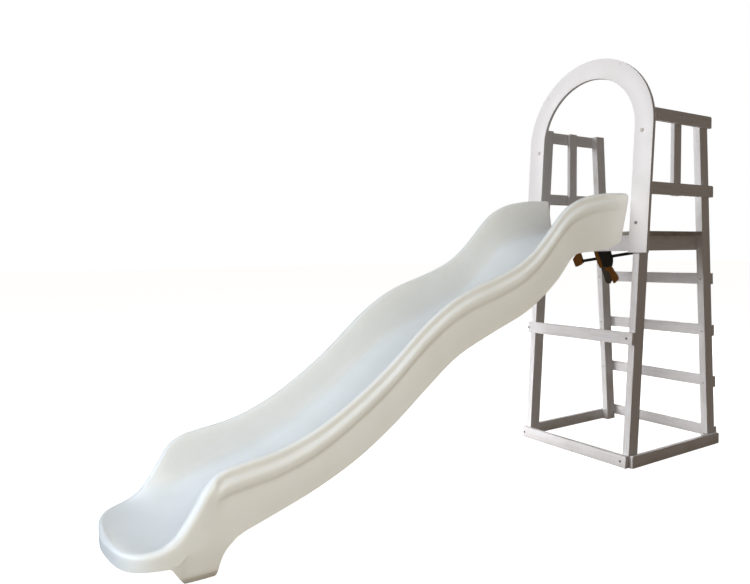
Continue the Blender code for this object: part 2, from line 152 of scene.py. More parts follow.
# Effects that more than one material uses. Here and below a noise is its scale, detail, roughness and
# distortion, a range is from which values to which, and a bump is its strength and distance

grainLook = {
    "streakStretch": (0.055, 1.0, 1.0),
    "streakNoise": (95.0, 4.0, 0.55, 0.4),
    "fibreNoise": (620.0, 3.0, 0.6),
    "fibreHeight": 0.6,
    "streakHeight": 0.4,
    "knotStretch": (0.42, 1.0, 1.0),
    "knotScale": 7.0,
    "knotRange": (0.12, 0.03),
}


def makeGrainGroup():
    # Sawn softwood along the first axis of the vector: broad streaks, fine fibres and a few knots
    tree, given = newGroup(
        "softwoodGrain", (("Vector", "Vector"), ("Knots", "Float")), ("Streaks", "Fibres", "Knot", "Height"))
    drawn = addMapping(tree, given["Vector"], Scale=grainLook["streakStretch"])
    streaks = addNoise(tree, drawn, *grainLook["streakNoise"])
    fibres = addNoise(tree, drawn, *grainLook["fibreNoise"])
    spread = addMapping(tree, given["Vector"], Scale=grainLook["knotStretch"])
    cells = addNode(
        tree, "ShaderNodeTexVoronoi", {"Vector": spread, "Scale": grainLook["knotScale"]}, feature="F1")
    near = addRange(tree, cells.outputs["Distance"], *grainLook["knotRange"])
    chance = addNode(tree, "ShaderNodeSeparateColor", {0: cells.outputs["Color"]}).outputs[0]
    knot = addMath(tree, "MULTIPLY", near, addMath(tree, "GREATER_THAN", given["Knots"], chance))
    fine = addMath(tree, "MULTIPLY", fibres, grainLook["fibreHeight"])
    broad = addMath(tree, "MULTIPLY", streaks, grainLook["streakHeight"])
    height = addMath(tree, "ADD", fine, broad)
    closeGroup(tree, Streaks=streaks, Fibres=fibres, Knot=knot, Height=height)


wearLook = {
    "bevelSamples": 4,
    "edgeRange": (0.995, 0.86),
    "patchNoise": (34.0, 5.0, 0.65),
    "patchLevel": 0.62,
    "patchSoftness": 0.10,
}


def makeWearGroup():
    # Worn arrises: where a bevelled normal leaves the true one, broken up by noise
    tree, given = newGroup(
        "edgeWear", (("Vector", "Vector"), ("Width", "Float"), ("Amount", "Float")), ("Mask",))
    bevel = addNode(tree, "ShaderNodeBevel", {"Radius": given["Width"]}, samples=wearLook["bevelSamples"])
    normal = addNode(tree, "ShaderNodeNewGeometry").outputs["Normal"]
    turn = addNode(tree, "ShaderNodeVectorMath", {0: bevel.outputs[0], 1: normal}, operation="DOT_PRODUCT")
    edge = addRange(tree, turn.outputs["Value"], *wearLook["edgeRange"])
    patches = addNoise(tree, given["Vector"], *wearLook["patchNoise"])
    unworn = addMath(tree, "SUBTRACT", 1.0, given["Amount"])
    above = addMath(tree, "SUBTRACT", patches, addMath(tree, "MULTIPLY", unworn, wearLook["patchLevel"]))
    broken = addRange(tree, above, 0.0, wearLook["patchSoftness"])
    closeGroup(tree, Mask=addMath(tree, "MULTIPLY", edge, broken, True))


grimeLook = {
    "cloudNoise": (9.0, 5.0, 0.6),
    "spotNoise": (160.0, 2.0, 0.5),
    "cloudShare": 1.1,
    "lowRange": (1.25, 0.35),
    "spotRange": (0.35, 0.65, 0.45, 1.0),
    "filmRange": (0.35, 0.75),
}


def makeGrimeGroup():
    # Splashed earth near the ground, and a thin film of dust elsewhere
    tree, given = newGroup(
        "groundGrime", (("Vector", "Vector"), ("Reach", "Float"), ("Film", "Float")), ("Mask",))
    up = addNode(tree, "ShaderNodeSeparateXYZ", {0: given["Vector"]}).outputs["Z"]
    cloud = addNoise(tree, given["Vector"], *grimeLook["cloudNoise"])
    spots = addNoise(tree, given["Vector"], *grimeLook["spotNoise"])
    rising = addMath(tree, "DIVIDE", up, given["Reach"])
    uneven = addMath(tree, "ADD", rising, addMath(tree, "MULTIPLY", cloud, grimeLook["cloudShare"]))
    low = addRange(tree, uneven, *grimeLook["lowRange"])
    splash = addMath(tree, "MULTIPLY", low, addRange(tree, spots, *grimeLook["spotRange"]))
    film = addMath(tree, "MULTIPLY", addRange(tree, cloud, *grimeLook["filmRange"]), given["Film"])
    closeGroup(tree, Mask=addMath(tree, "MAXIMUM", splash, film, True))


makeGrainGroup()
makeWearGroup()
makeGrimeGroup()
print("shader effects ready")


# Camera, floor and light

view = {
    "place": (2.3528, -1.9448, 1.1005),
    "turn": 57.793,  # degrees to the left of +Y
    "lift": -3.368,
    "roll": -0.862,
    "lens": 30.506,
    "sensor": 36.0,
    "clipEnd": 200.0,
}

studio = {
    "floorSize": 120.0,
    "floorTone": (0.80, 0.80, 0.80),
    "floorRoughness": 0.9,
    "floorGlow": 0.88,
    "skyTone": (1.0, 0.90, 0.79),
    "skyStrength": 0.150,
    "groundTone": (1.0, 0.80, 0.62),
    "groundStrength": 0.160,
    "horizon": (-0.15, 0.35),  # where the ground's light fades into the sky's
}

# Soft boxes. In the photo the slide is lit from all round and the tower from the left alone, so each
# has its own. Only a shadowed one lets the slide shade the tower and the clamp behind it
lamps = {
    "towerKey": {"place": (-3.0, -5.0, 3.2), "target": (0.0, 1.2, 0.9), "power": 202.0, "size": 2.6,
                 "tone": (0.98, 0.98, 1.0), "on": "tower"},
    "towerShaded": {"place": (-0.6, -6.2, 2.4), "target": (0.0, 1.2, 0.9), "power": 172.0, "size": 1.6,
                    "tone": (0.98, 0.98, 1.0), "on": "all", "shadowed": True},
    "towerBack": {"place": (-1.8, 6.8, 2.6), "target": (0.0, 1.2, 1.0), "power": 150.0, "size": 4.0,
                  "tone": (0.98, 0.98, 1.0), "on": "all", "shadowed": True},
    "towerTop": {"place": (-0.8, 0.9, 5.2), "target": (0.0, 1.2, 1.0), "power": 42.0, "size": 1.2,
                 "tone": (0.98, 0.98, 1.0), "on": "all", "shadowed": True},
    "towerLow": {"place": (-1.8, -2.8, 0.20), "target": (0.0, 1.2, -0.15), "power": 3.3, "size": 0.8,
                 "tone": (0.98, 0.98, 1.0), "on": "tower", "spread": 34.0},
    "slideTop": {"place": (-0.8, -1.6, 4.6), "target": (0.0, -0.4, 0.5), "power": 63.0, "size": 5.0,
                 "tone": (0.84, 0.93, 1.0), "on": "slide"},
    "slideFront": {"place": (0.9, -6.0, 2.6), "target": (0.0, -0.6, 0.5), "power": 177.0, "size": 4.0,
                   "tone": (0.68, 0.83, 1.0), "on": "slide"},
    "slideSide": {"place": (4.7, -1.9, 1.5), "target": (0.0, -0.4, 0.5), "power": 165.0, "size": 4.0,
                  "tone": (1.0, 0.945, 0.80), "on": "slide"},
    "slideLeft": {"place": (-4.7, -0.6, 0.10), "target": (0.0, -0.4, 0.45), "power": 85.0, "size": 0.5,
                  "tone": (1.0, 0.97, 0.92), "on": "slide"},
    "slideExit": {"place": (-0.7, -4.0, 1.35), "target": (0.0, -1.54, 0.13), "power": 1.0, "size": 1.0,
                  "tone": (0.72, 0.84, 1.0), "on": "slide", "spread": 26.0},
}


def aimed(direction):
    return Vector(direction).to_track_quat("-Z", "Y").to_euler()


def makeCamera():
    turn, lift, roll = (math.radians(view[name]) for name in ("turn", "lift", "roll"))
    ahead = Vector((-math.sin(turn) * math.cos(lift), math.cos(turn) * math.cos(lift), math.sin(lift)))
    level = ahead.cross(Vector((0.0, 0.0, 1.0))).normalized()
    upright = level.cross(ahead)
    right = level * math.cos(roll) + upright * math.sin(roll)
    top = upright * math.cos(roll) - level * math.sin(roll)
    data = bpy.data.cameras.new("photoCamera")
    data.lens = view["lens"]
    data.sensor_width = view["sensor"]
    data.clip_end = view["clipEnd"]
    camera = bpy.data.objects.new("photoCamera", data)
    bpy.context.scene.collection.objects.link(camera)
    turned = Matrix((right, top, -ahead)).transposed().to_4x4()
    camera.matrix_world = Matrix.Translation(view["place"]) @ turned
    bpy.context.scene.camera = camera


def lightUp():
    # Called when all the pieces are there
    groups = {name: bpy.data.collections.new(name + "Lit") for name in ("slide", "tower", "all")}
    for obj in bpy.context.scene.objects:
        if obj.type != "MESH":
            continue
        if obj.name in ("slideShell", "studioFloor"):
            groups["slide"].objects.link(obj)
        elif not obj.name.startswith("clamp"):
            groups["tower"].objects.link(obj)
        if obj.name != "slideShell":
            groups["all"].objects.link(obj)
    for name, lamp in lamps.items():
        data = bpy.data.lights.new(name, "AREA")
        data.energy = lamp["power"]
        data.size = lamp["size"]
        data.color = lamp["tone"]
        data.spread = math.radians(lamp.get("spread", 180.0))
        light = bpy.data.objects.new(name, data)
        light.location = lamp["place"]
        light.rotation_euler = aimed(Vector(lamp["target"]) - light.location)
        bpy.context.scene.collection.objects.link(light)
        light.light_linking.receiver_collection = groups[lamp["on"]]
        if not lamp.get("shadowed"):
            light.light_linking.blocker_collection = groups[lamp["on"]]


def makeWorld():
    # A soft two-toned dome lights the pieces, and the camera sees plain white
    world = bpy.data.worlds.new("studioWorld")
    bpy.context.scene.world = world
    world.use_nodes = True
    tree = world.node_tree
    tree.nodes.clear()
    sky, ground, white = (
        addNode(tree, "ShaderNodeBackground", {"Color": (*tone, 1.0), "Strength": strength}).outputs[0]
        for tone, strength in (
            (studio["skyTone"], studio["skyStrength"]), (studio["groundTone"], studio["groundStrength"]),
            ((1.0, 1.0, 1.0), 1.0)))
    way = addNode(tree, "ShaderNodeTexCoord").outputs["Generated"]
    up = addNode(tree, "ShaderNodeSeparateXYZ", {0: way}).outputs["Z"]
    share = addRange(tree, up, *studio["horizon"], kind="SMOOTHSTEP")
    dome = addNode(tree, "ShaderNodeMixShader", {0: share, 1: ground, 2: sky}).outputs[0]
    seen = addNode(tree, "ShaderNodeLightPath").outputs["Is Camera Ray"]
    shown = addNode(tree, "ShaderNodeMixShader", {0: seen, 1: dome, 2: white}).outputs[0]
    addNode(tree, "ShaderNodeOutputWorld", {"Surface": shown})


def makeFloor():
    bm = bmesh.new()
    bmesh.ops.create_grid(bm, x_segments=1, y_segments=1, size=studio["floorSize"] / 2)
    mesh = bpy.data.meshes.new("studioFloor")
    bm.to_mesh(mesh)
    bm.free()
    floor = bpy.data.objects.new("studioFloor", mesh)
    bpy.context.scene.collection.objects.link(floor)
    mesh.materials.append(newMaterial("paleFloor", {
        "Base Color": (*studio["floorTone"], 1.0),
        "Roughness": studio["floorRoughness"],
        "Specular IOR Level": 0.0,
        "Emission Color": (1.0, 1.0, 1.0, 1.0),
        "Emission Strength": studio["floorGlow"],
    })[0])
    floor.visible_diffuse = False
    floor.visible_glossy = False


makeCamera()
makeWorld()
makeFloor()
bpy.context.scene.view_settings.view_transform = "Standard"
print("studio ready")


# Timber finishes: thin white paint on softwood, and bare weathered deck boards

paint = {
    "white": (0.83, 0.83, 0.85),
    "thin": (0.68, 0.66, 0.63),
    "fibre": (0.54, 0.50, 0.45),
    "knot": (0.56, 0.47, 0.36),
    "bareWood": (0.46, 0.37, 0.27),
    "grime": (0.30, 0.26, 0.21),
    "thinRange": (0.48, 0.80, 0.0, 0.75),
    "fibreRange": (0.56, 0.76, 0.0, 0.50),
    "knots": 0.30,
    "knotShare": 0.38,
    "wearWidth": 0.0035,
    "wear": 0.42,
    "wearShare": 0.75,
    "splash": 0.07,  # how high earth splashes up
    "film": 0.04,
    "grimeShare": 0.55,
    "roughRange": (0.3, 0.8, 0.44, 0.66),
    "wornRoughness": 0.2,
    "wornDepth": 0.5,
    "bump": (0.22, 0.002),
}

alongAxis = {"x": (0.0, 0.0, 0.0), "y": (0.0, 0.0, -math.pi / 2), "z": (0.0, math.pi / 2, 0.0)}
seedShift = Vector((3.17, 1.31, 0.73))


def grainVector(tree, coords, axis, seed):
    turned = addMapping(tree, coords, Rotation=alongAxis[axis])
    return addMapping(tree, turned, Location=seedShift * seed)


def paintedTimber(axis, seed):
    name = "paintedTimber" + axis.upper() + str(seed)
    if name in bpy.data.materials:
        return bpy.data.materials[name]
    material, tree, shader, coords = newMaterial(name)
    vector = grainVector(tree, coords, axis, seed)
    grain = addGroup(tree, "softwoodGrain", Vector=vector, Knots=paint["knots"])
    wear = addGroup(tree, "edgeWear", Vector=vector, Width=paint["wearWidth"], Amount=paint["wear"])["Mask"]
    grime = addGroup(tree, "groundGrime", Vector=coords, Reach=paint["splash"], Film=paint["film"])["Mask"]
    thinned = addRange(tree, grain["Streaks"], *paint["thinRange"])
    colour = addMix(tree, thinned, paint["white"], paint["thin"])
    colour = addMix(tree, addRange(tree, grain["Fibres"], *paint["fibreRange"]), colour, paint["fibre"])
    colour = addTint(tree, colour, grain["Knot"], paint["knotShare"], paint["knot"])
    colour = addTint(tree, colour, wear, paint["wearShare"], paint["bareWood"])
    colour = addTint(tree, colour, grime, paint["grimeShare"], paint["grime"])
    rough = addRange(tree, grain["Streaks"], *paint["roughRange"])
    rough = addMath(tree, "ADD", rough, addMath(tree, "MULTIPLY", wear, paint["wornRoughness"]))
    height = addMath(tree, "SUBTRACT", grain["Height"], addMath(tree, "MULTIPLY", wear, paint["wornDepth"]))
    finishMaterial(tree, shader, colour, rough, height, paint["bump"])
    return material


decking = {
    "pale": (0.50, 0.47, 0.43),
    "dark": (0.30, 0.27, 0.24),
    "knot": (0.17, 0.13, 0.10),
    "dust": (0.55, 0.53, 0.49),
    "darkRange": (0.35, 0.72),
    "fibreRange": (0.5, 0.8, 0.0, 0.6),
    "knots": 0.5,
    "knotShare": 0.8,
    "dustNoise": (14.0, 5.0, 0.6),
    "dustRange": (0.5, 0.75, 0.0, 0.5),
    "roughRange": (0.3, 0.8, 0.6, 0.85),
    "bump": (0.5, 0.002),
    "firstSeed": 20,
}


def deckTimber(seed):
    material, tree, shader, coords = newMaterial("deckTimber" + str(seed))
    vector = grainVector(tree, coords, "x", seed + decking["firstSeed"])
    grain = addGroup(tree, "softwoodGrain", Vector=vector, Knots=decking["knots"])
    dust = addNoise(tree, coords, *decking["dustNoise"])
    streaks = addRange(tree, grain["Streaks"], *decking["darkRange"])
    colour = addMix(tree, streaks, decking["pale"], decking["dark"])
    colour = addMix(tree, addRange(tree, grain["Fibres"], *decking["fibreRange"]), colour, decking["dark"])
    colour = addTint(tree, colour, grain["Knot"], decking["knotShare"], decking["knot"])
    colour = addMix(tree, addRange(tree, dust, *decking["dustRange"]), colour, decking["dust"])
    rough = addRange(tree, grain["Fibres"], *decking["roughRange"])
    finishMaterial(tree, shader, colour, rough, grain["Height"], decking["bump"])
    return material


# Straight timber: each board keeps its CAD shape, with its arrises eased

meshwork = {
    "merge": 0.00002,
    "flatAngle": math.radians(1.0),
    "smoothAngle": math.radians(28.0),
}

timber = {
    "easing": 0.0018,
    "easingSteps": 2,
    "sharpAngle": math.radians(20.0),
    "axes": {"post": "z", "ladder": "x", "front": "x", "side": "y", "deck": "x"},
    "paintKinds": 7,
    "plankKinds": 5,
}


def mergedCopy(nodeName):
    # A CAD node is loose triangles, so its copy is merged and its flat faces are joined
    bm = bmesh.new()
    bm.from_mesh(nodes[nodeName].data)
    bmesh.ops.remove_doubles(bm, verts=bm.verts, dist=meshwork["merge"])
    bmesh.ops.dissolve_limit(bm, angle_limit=meshwork["flatAngle"], verts=bm.verts, edges=bm.edges)
    return bm


def easeEdges(bm, sharpAngle, easing, steps):
    sharp = [edge for edge in bm.edges if edge.calc_face_angle(0.0) > sharpAngle]
    bmesh.ops.bevel(
        bm, geom=sharp, offset=easing, segments=steps, profile=0.5, affect="EDGES", material=-1)


def finishMesh(bm, name, material, smooth=False):
    mesh = bpy.data.meshes.new(name)
    bmesh.ops.recalc_face_normals(bm, faces=bm.faces)
    for face in bm.faces:
        face.smooth = smooth
    bm.to_mesh(mesh)
    bm.free()
    if smooth:
        mesh.set_sharp_from_angle(angle=meshwork["smoothAngle"])
    piece = bpy.data.objects.new(name, mesh)
    mesh.materials.append(material)
    bpy.context.scene.collection.objects.link(piece)
    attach(piece, "root")
    return piece


def camel(nodeName):
    head, *rest = nodeName.split("_")
    return head + "".join(word.capitalize() for word in rest)


def makeTimber():
    for index, nodeName in enumerate(sorted(nodes)):
        family = nodeName.split("_")[0]
        if family not in timber["axes"]:
            continue
        ending, slot = "Timber", "white_timber"
        if nodeName.startswith("deck_board"):
            ending, slot = "Plank", "deck_timber"
            material = deckTimber(index % timber["plankKinds"])
        else:
            axis = timber["axes"][family]
            if "slat" in nodeName:
                axis = "z"
            elif nodeName.startswith("deck_side") or "joist" in nodeName:
                axis = "y"
            material = paintedTimber(axis, index % timber["paintKinds"])
        bm = mergedCopy(nodeName)
        easeEdges(bm, timber["sharpAngle"], timber["easing"], timber["easingSteps"])
        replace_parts(finishMesh(bm, camel(nodeName) + ending, material), nodeName)


makeTimber()
print("timber ready")


# The slide: one moulded shell

slide = {
    "towerY": 1.20483,  # the tower's middle, from which the tables below run
    "topY": -0.305,
    "halfWidth": 0.260,
    "wall": 0.004,
    "spacing": 0.034,
    "lipPivot": -2.600,
    "lipLength": 0.199,
    "lipSquareness": 3.1,
    "lipLastMiddle": -2.760,
    "lipSteps": 22,
    "lipCrowding": 1.4,
    "flangePoints": 5,  # of the bed, which run on over the deck
    "flangeReach": 0.052,
    "ledgeEnd": (-2.466, -2.494),
    "outsetEnd": (-2.540, -2.680),
    "footEnd": (-2.600, -2.640),
    "dishEnd": (-2.520, -2.700),
    "dishing": 3.0,  # at the lip the bed rises to its rim in one soft curve
    "topMerge": 0.13,  # length at the top over which the bead comes out of the plain side
    "rearSlant": 0.27,
    "rearFade": 0.30,
    "rimRoll": 0.022,  # at the lip; elsewhere the side stands out by the outset
    "outset": 0.030,
    "leastDrop": 0.0012,
    "fullSkirt": 0.125,
    "skirtShares": (0.35, 0.7),
    "bandEdge": 0.002,
    "footBand": 0.034,  # height of the turned-in band at the bottom of the feet
    "footTop": 0.120,
    "footLean": 0.16,
    "footTurnIn": 0.70,
    "footSpacing": 0.015,
    "onSeam": 0.00001,
    "seamMerge": 0.0001,
    "merge": 0.00005,
    "bedPlace": (0.0, -1.2),  # a place where the bed's faces look up
    "inner": (
        (1.0, 0.0), (0.80, 0.0), (0.60, 0.0), (0.46, 0.0), (0.36, 0.004), (0.29, 0.014), (0.235, 0.036),
        (0.19, 0.075), (0.155, 0.130), (0.128, 0.205), (0.108, 0.305), (0.093, 0.42), (0.080, 0.54),
        (0.070, 0.67), (0.063, 0.78), (0.055, 0.875), (0.043, 0.94), (0.026, 0.983), (0.0, 1.0),
    ),
    # Outside the crest and below it, with the bead and where the bead has merged into the rim
    "outer": (
        ((0.0070, 0.0012), (0.0060, 0.0015)), ((0.0130, 0.0046), (0.0120, 0.0040)),
        ((0.0166, 0.0100), (0.0175, 0.0080)), ((0.0178, 0.0175), (0.0220, 0.0135)),
        ((0.0180, 0.0265), (0.0255, 0.0200)), ((0.0190, 0.0340), (0.0280, 0.0280)),
        ((0.0228, 0.0390), (0.0292, 0.0370)), ((0.0276, 0.0438), (0.0298, 0.0470)),
        ((0.0308, 0.0500), (0.0300, 0.0550)), ((0.0322, 0.0580), (0.0300, 0.0610)),
        ((0.0322, 0.0690), (0.0300, 0.0690)), ((0.0309, 0.0792), (0.0300, 0.0770)),
        ((0.0280, 0.0867), (0.0300, 0.0850)), ((0.0259, 0.0932), (0.0300, 0.0920)),
        ((0.0269, 0.1050), (0.0300, 0.1040)),
    ),
    "rim": (
        (-0.305, 1.396), (-0.48, 1.388), (-0.64, 1.359), (-0.76, 1.301), (-0.87, 1.195), (-0.96, 1.113),
        (-1.06, 1.049), (-1.20, 0.995), (-1.35, 0.948), (-1.47, 0.894), (-1.61, 0.799), (-1.77, 0.665),
        (-1.93, 0.553), (-2.10, 0.459), (-2.25, 0.408), (-2.40, 0.384), (-2.465, 0.371), (-2.515, 0.338),
        (-2.575, 0.247), (-2.63, 0.177), (-2.69, 0.147), (-2.81, 0.138),
    ),
    "bed": (
        (-0.305, 1.2055), (-0.43, 1.201), (-0.575, 1.178), (-0.71, 1.120), (-0.827, 1.020), (-0.935, 0.925),
        (-1.06, 0.855), (-1.205, 0.802), (-1.363, 0.745), (-1.50, 0.675), (-1.65, 0.565), (-1.798, 0.460),
        (-1.947, 0.375), (-2.097, 0.305), (-2.248, 0.255), (-2.38, 0.218), (-2.55, 0.163), (-2.68, 0.137),
        (-2.81, 0.131),
    ),
    "skirt": (
        (-0.305, 1.156), (-0.36, 1.135), (-0.48, 1.113), (-0.66, 1.101), (-0.71, 1.094), (-0.75, 1.068),
        (-0.82, 0.990), (-0.94, 0.896), (-1.06, 0.828), (-1.25, 0.755), (-1.45, 0.669), (-1.61, 0.554),
        (-1.77, 0.433), (-1.93, 0.332), (-2.10, 0.254), (-2.25, 0.203), (-2.40, 0.156),
    ),
    "foot": (
        (-2.40, 0.156), (-2.43, 0.141), (-2.455, 0.115), (-2.473, 0.090), (-2.484, 0.060), (-2.489, 0.025),
        (-2.4905, 0.006), (-2.492, 0.001), (-2.500, 0.0), (-2.53, 0.0), (-2.565, 0.0), (-2.590, 0.0),
        (-2.597, 0.001), (-2.60, 0.006), (-2.643, 0.086), (-2.71, 0.087), (-2.81, 0.084),
    ),
}


def smoothHeight(points, y):
    places = [-point[0] for point in points]
    index = min(max(bisect.bisect_right(places, -y) - 1, 0), len(points) - 2)

    def slope(at):
        before, after = points[max(at - 1, 0)], points[min(at + 1, len(points) - 1)]
        return (after[1] - before[1]) / (after[0] - before[0])

    (y0, z0), (y1, z1) = points[index], points[index + 1]
    span = y1 - y0
    t = min(max((y - y0) / span, 0.0), 1.0)
    rise = (2 * t**3 - 3 * t**2 + 1) * z0 + (3 * t**2 - 2 * t**3) * z1
    return rise + span * ((t**3 - 2 * t**2 + t) * slope(index) + (t**3 - t**2) * slope(index + 1))


def straightHeight(points, y):
    for (y0, z0), (y1, z1) in zip(points, points[1:]):
        if y >= y1:
            return z0 + (z1 - z0) * (y - y0) / (y1 - y0)
    return points[-1][1]


def skirtEdge(y):
    if y > slide["skirt"][-1][0]:
        return smoothHeight(slide["skirt"], y)
    return straightHeight(slide["foot"], y)


def shareLeft(stretch, y):
    start, end = stretch
    return min(max((y - end) / (start - end), 0.0), 1.0)


def halfSection(middleY, rimX, rimY):
    outward = Vector((rimX, rimY - middleY, 0.0))
    length = outward.length
    outward /= length
    rim = Vector((rimX, rimY, 0.0))
    rimHeight = smoothHeight(slide["rim"], rimY)
    wallHeight = rimHeight - smoothHeight(slide["bed"], rimY)
    edge = skirtEdge(rimY)
    points = []
    dished = 1 - shareLeft(slide["dishEnd"], rimY)
    for inside, share in slide["inner"]:
        share += (max(1 - inside, 0.0) ** slide["dishing"] - share) * dished
        place = rim - outward * (length * inside)
        place.z = smoothHeight(slide["bed"], place.y) + wallHeight * share
        points.append(place)
    merged = max(1 - shareLeft(slide["ledgeEnd"], rimY), 1 - (slide["topY"] - rimY) / slide["topMerge"])
    outset = shareLeft(slide["outsetEnd"], rimY)
    squeeze = min((rimHeight - edge) / slide["fullSkirt"], 1.0)
    rear = max(1 - (slide["topY"] - rimY) / slide["rearFade"], 0.0)
    footShare = shareLeft(slide["footEnd"], rimY)
    full = slide["rimRoll"] + (slide["outset"] - slide["rimRoll"]) * outset
    for beaded, plain in slide["outer"]:
        out, drop = Vector(beaded).lerp(Vector(plain), merged)
        out *= full / slide["outset"]
        place = rim + outward * out
        place.z = rimHeight - drop * squeeze
        place.y -= rear * slide["rearSlant"] * (rimHeight - place.z)
        points.append(place)
    top = points[-1].z
    band = max(slide["footBand"], edge)
    knee = min(max(slide["footTop"], edge), top)
    heights = [top + (knee - top) * share for share in slide["skirtShares"]]
    heights += [knee, (knee + band) / 2, band + slide["bandEdge"]]
    heights += [max(band - slide["bandEdge"], edge), (band + edge) / 2, edge]
    for height in heights:
        lean = slide["footLean"] * max(slide["footTop"] - height, 0.0)
        turnIn = slide["footTurnIn"] * max(slide["footBand"] - height, 0.0)
        place = rim + outward * (full - (lean + turnIn) * footShare)
        place.z = min(height, points[-1].z - slide["leastDrop"])
        place.y -= rear * slide["rearSlant"] * (rimHeight - place.z)
        points.append(place)
    return points


def slideSections():
    footStart = slide["foot"][0][0]
    count = math.ceil((slide["topY"] - footStart) / slide["spacing"])
    places = [slide["topY"] + (footStart - slide["topY"]) * index / count for index in range(count)]
    for (y0, _), (y1, _) in zip(slide["foot"], slide["foot"][1:]):
        if y0 > slide["lipPivot"]:
            places += [y0, (y0 + y1) / 2] if y0 - y1 > slide["footSpacing"] else [y0]
    sections = [halfSection(y, slide["halfWidth"], y) for y in places]
    steps = slide["lipSteps"]
    power = 2 / slide["lipSquareness"]
    for step in range(steps + 1):
        share = (step / steps) ** slide["lipCrowding"]
        angle = share * math.pi / 2
        rimX = slide["halfWidth"] * math.cos(angle) ** power if step < steps else 0.0
        rimY = slide["lipPivot"] - slide["lipLength"] * math.sin(angle) ** power
        middle = slide["lipPivot"] + (slide["lipLastMiddle"] - slide["lipPivot"]) * share
        sections.append(halfSection(middle, rimX, rimY))
    return sections


def pushedOn(bm, chain):
    # Extrudes a chain of edges and returns the new chain in the same order
    edges = [bm.edges.get(pair) for pair in zip(chain, chain[1:])]
    made = bmesh.ops.extrude_edge_only(bm, edges=edges)
    fresh = {item for item in made["geom"] if isinstance(item, bmesh.types.BMVert)}
    return [next(e.other_vert(v) for e in v.link_edges if e.other_vert(v) in fresh) for v in chain]


plastic = {
    "cool": (0.84, 0.85, 0.85),
    "warm": (0.80, 0.80, 0.785),
    "mottled": (0.76, 0.757, 0.73),
    "grime": (0.46, 0.42, 0.30),
    "cloudNoise": (3.2, 5.0, 0.6),
    "warmRange": (0.35, 0.70),
    "mottleNoise": (38.0, 4.0, 0.6),
    "mottleRange": (0.50, 0.85, 0.0, 0.20),
    "splash": 0.070,
    "grimeShare": 0.55,
    "roughRange": (0.3, 0.7, 0.36, 0.46),
    "rippleNoise": (9.0, 0.0, 0.5),
    "bump": (0.16, 0.004),
    "shader": {
        "Subsurface Weight": 0.25,
        "Subsurface Radius": (1.0, 0.94, 0.82),
        "Subsurface Scale": 0.008,
        "Coat Weight": 0.10,
        "Coat Roughness": 0.20,
    },
}


def slidePlastic():
    # Cool white moulding with a faint mottle, a soft ripple and earth splashed on its feet
    material, tree, shader, coords = newMaterial("slidePlastic", plastic["shader"])
    cloud = addNoise(tree, coords, *plastic["cloudNoise"])
    mottle = addNoise(tree, coords, *plastic["mottleNoise"])
    grime = addGroup(tree, "groundGrime", Vector=coords, Reach=plastic["splash"], Film=0.0)["Mask"]
    colour = addMix(tree, addRange(tree, cloud, *plastic["warmRange"]), plastic["cool"], plastic["warm"])
    colour = addMix(tree, addRange(tree, mottle, *plastic["mottleRange"]), colour, plastic["mottled"])
    colour = addTint(tree, colour, grime, plastic["grimeShare"], plastic["grime"])
    rough = addRange(tree, cloud, *plastic["roughRange"])
    ripple = addNoise(tree, coords, *plastic["rippleNoise"])
    finishMaterial(tree, shader, colour, rough, ripple, plastic["bump"])
    return material


def bedUp(bm):
    bmesh.ops.recalc_face_normals(bm, faces=bm.faces)
    place = Vector(slide["bedPlace"])
    bed = min(bm.faces, key=lambda face: (face.calc_center_median().xy - place).length)
    if bed.normal.z < 0:
        bmesh.ops.reverse_faces(bm, faces=bm.faces)


def makeSlide():
    bm = bmesh.new()
    sections = slideSections()
    first = [bm.verts.new(point) for point in sections[0]]
    for pair in zip(first, first[1:]):
        bm.edges.new(pair)
    chain = first
    for section in sections[1:]:
        chain = pushedOn(bm, chain)
        for vertex, point in zip(chain, section):
            vertex.co = point
    for vertex in pushedOn(bm, first[:slide["flangePoints"]]):
        vertex.co.y += slide["flangeReach"]
        vertex.co.z = first[0].co.z
    for vertex in bm.verts:
        if abs(vertex.co.x) < slide["onSeam"]:
            vertex.co.x = 0.0
    half = bm.verts[:] + bm.edges[:] + bm.faces[:]
    bmesh.ops.mirror(bm, geom=half, axis="X", merge_dist=slide["seamMerge"])
    bmesh.ops.remove_doubles(bm, verts=bm.verts, dist=slide["merge"])
    bedUp(bm)
    bmesh.ops.translate(bm, vec=(0.0, slide["towerY"], 0.0), verts=bm.verts)
    mesh = bpy.data.meshes.new("slideShell")
    for face in bm.faces:
        face.smooth = True
    bm.to_mesh(mesh)
    bm.free()
    piece = bpy.data.objects.new("slideShell", mesh)
    bpy.context.scene.collection.objects.link(piece)
    mesh.materials.append(slidePlastic())
    wall = piece.modifiers.new("wall", "SOLIDIFY")
    wall.thickness = slide["wall"]
    wall.offset = -1.0
    wall.use_even_offset = True
    smooth = piece.modifiers.new("smooth", "SUBSURF")
    smooth.levels = 1
    smooth.render_levels = 1
    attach(piece, "root")
    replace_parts(piece, "slide_chute")


makeSlide()
print("slide ready")


# The arched board: rolled paint with an orange-peel stipple, faint patches and a few chips

arch = {
    "outerRadius": 0.40695,
    "innerRadius": 0.302,
    "thickness": 0.020,
    "centreHeight": 1.729,
    "bottom": 1.090,
    "lean": 0.070,
    "steps": 72,
    "easing": 0.0015,
    "easingSteps": 2,
    "sharpAngle": math.radians(40.0),
    "merge": 0.00001,
    "white": (0.83, 0.83, 0.84),
    "shadow": (0.785, 0.775, 0.77),
    "chip": (0.42, 0.36, 0.30),
    "patchNoise": (6.0, 5.0, 0.6),
    "shadowRange": (0.45, 0.8, 0.0, 0.6),
    "wearWidth": 0.003,
    "wear": 0.28,
    "wearShare": 0.7,
    "roughRange": (0.3, 0.7, 0.36, 0.52),
    "stippleNoise": (520.0, 2.0, 0.5),
    "bump": (0.12, 0.001),
}


